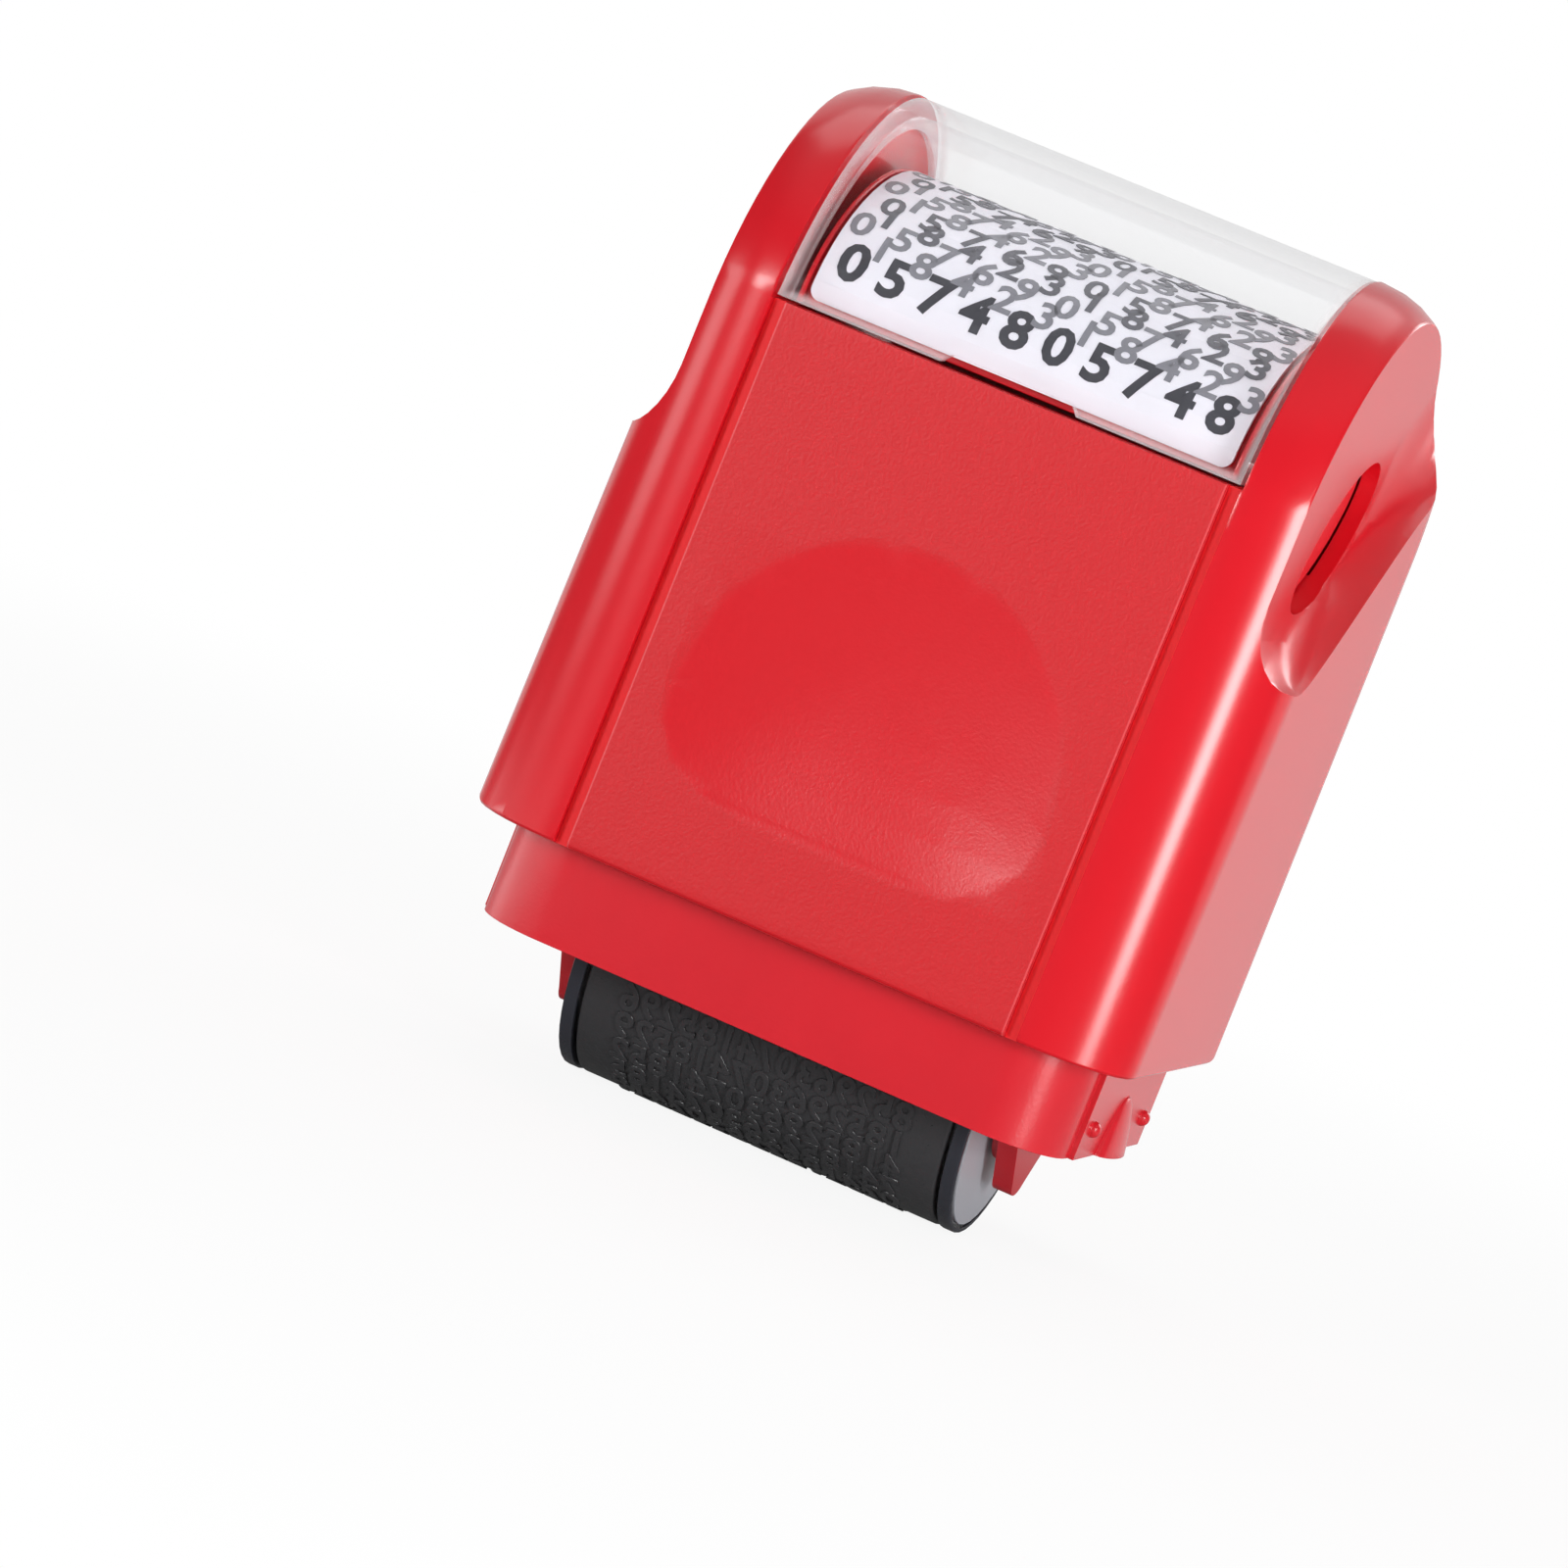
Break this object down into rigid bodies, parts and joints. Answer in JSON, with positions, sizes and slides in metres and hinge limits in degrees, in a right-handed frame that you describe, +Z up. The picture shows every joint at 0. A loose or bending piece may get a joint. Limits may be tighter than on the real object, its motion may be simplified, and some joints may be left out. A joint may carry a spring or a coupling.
{
  "type": "privacy roller stamp",
  "caption": "Hand-held roller stamp with a moulded housing, finger scoops, clear index window and pull-out cartridge that turns a rubber masking die.",
  "frame": {"origin": "on the ground under the middle of the die roller, at the bottom centre of the bounding box", "axes": "+Z up from the roller to the window, -Y towards the front panel with the window's nail notch, X along the rollers' axes"},
  "size_m": [0.05, 0.0384, 0.0724],
  "materials": {
    "housing_red": "gloss",
    "base_red": "satin",
    "cartridge_red": "satin",
    "clear_window": "clear gloss",
    "label_white": "matte",
    "axle_steel": "satin",
    "core_white": "matte",
    "die_rubber": "matte",
    "ring_black": "semi-gloss",
    "cap_grey": "satin",
    "ink_felt": "felt"
  },
  "bodies": {
    "stamp_body": {"housing": "housing_red", "label_bed": "housing_red", "label_card": "label_white", "base_frame": "base_red"},
    "window": {"index_window": "clear_window"},
    "cartridge": {"roller_carriage": "cartridge_red", "cartridge_lid": "cartridge_red", "die_axle": "axle_steel", "ink_axle": "axle_steel"},
    "die_roller": {"die_core": "core_white", "rubber_die": "die_rubber", "die_ring_left": "ring_black", "die_ring_right": "ring_black", "die_cap_left": "cap_grey", "die_cap_right": "cap_grey"},
    "ink_roller": {"ink_core": "core_white", "ink_felt": "ink_felt", "ink_disc_left": "core_white", "ink_disc_right": "core_white"},
    "left_latch": {"latch_tongue_left": "cartridge_red"},
    "right_latch": {"latch_tongue_right": "cartridge_red"}
  },
  "joints": [
    {"name": "window_lift", "type": "slide", "parent": "stamp_body", "child": "window", "axis": [0, 0, 1], "range_m": [0, 0.012]},
    {"name": "cartridge_pull", "type": "slide", "parent": "stamp_body", "child": "cartridge", "axis": [0, 0, -1], "range_m": [0, 0.024]},
    {"name": "die_spin", "type": "hinge", "parent": "cartridge", "child": "die_roller", "pos_m": [0, 0, 0.011], "axis": [1, 0, 0], "continuous": true},
    {"name": "ink_spin", "type": "hinge", "parent": "cartridge", "child": "ink_roller", "pos_m": [0, 0, 0.0278], "axis": [1, 0, 0], "continuous": true},
    {"name": "left_latch_press", "type": "hinge", "parent": "stamp_body", "child": "left_latch", "pos_m": [-0.0199, 0, 0.0343], "axis": [0, 1, 0], "range_deg": [0, 1.7], "stiffness_Nm_per_rad": 2},
    {"name": "right_latch_press", "type": "hinge", "parent": "stamp_body", "child": "right_latch", "pos_m": [0.0199, 0, 0.0343], "axis": [0, -1, 0], "range_deg": [0, 1.7], "stiffness_Nm_per_rad": 2}
  ],
  "couplings": [
    {"joint": "ink_spin", "follows": "die_spin", "ratio": -2}
  ]
}
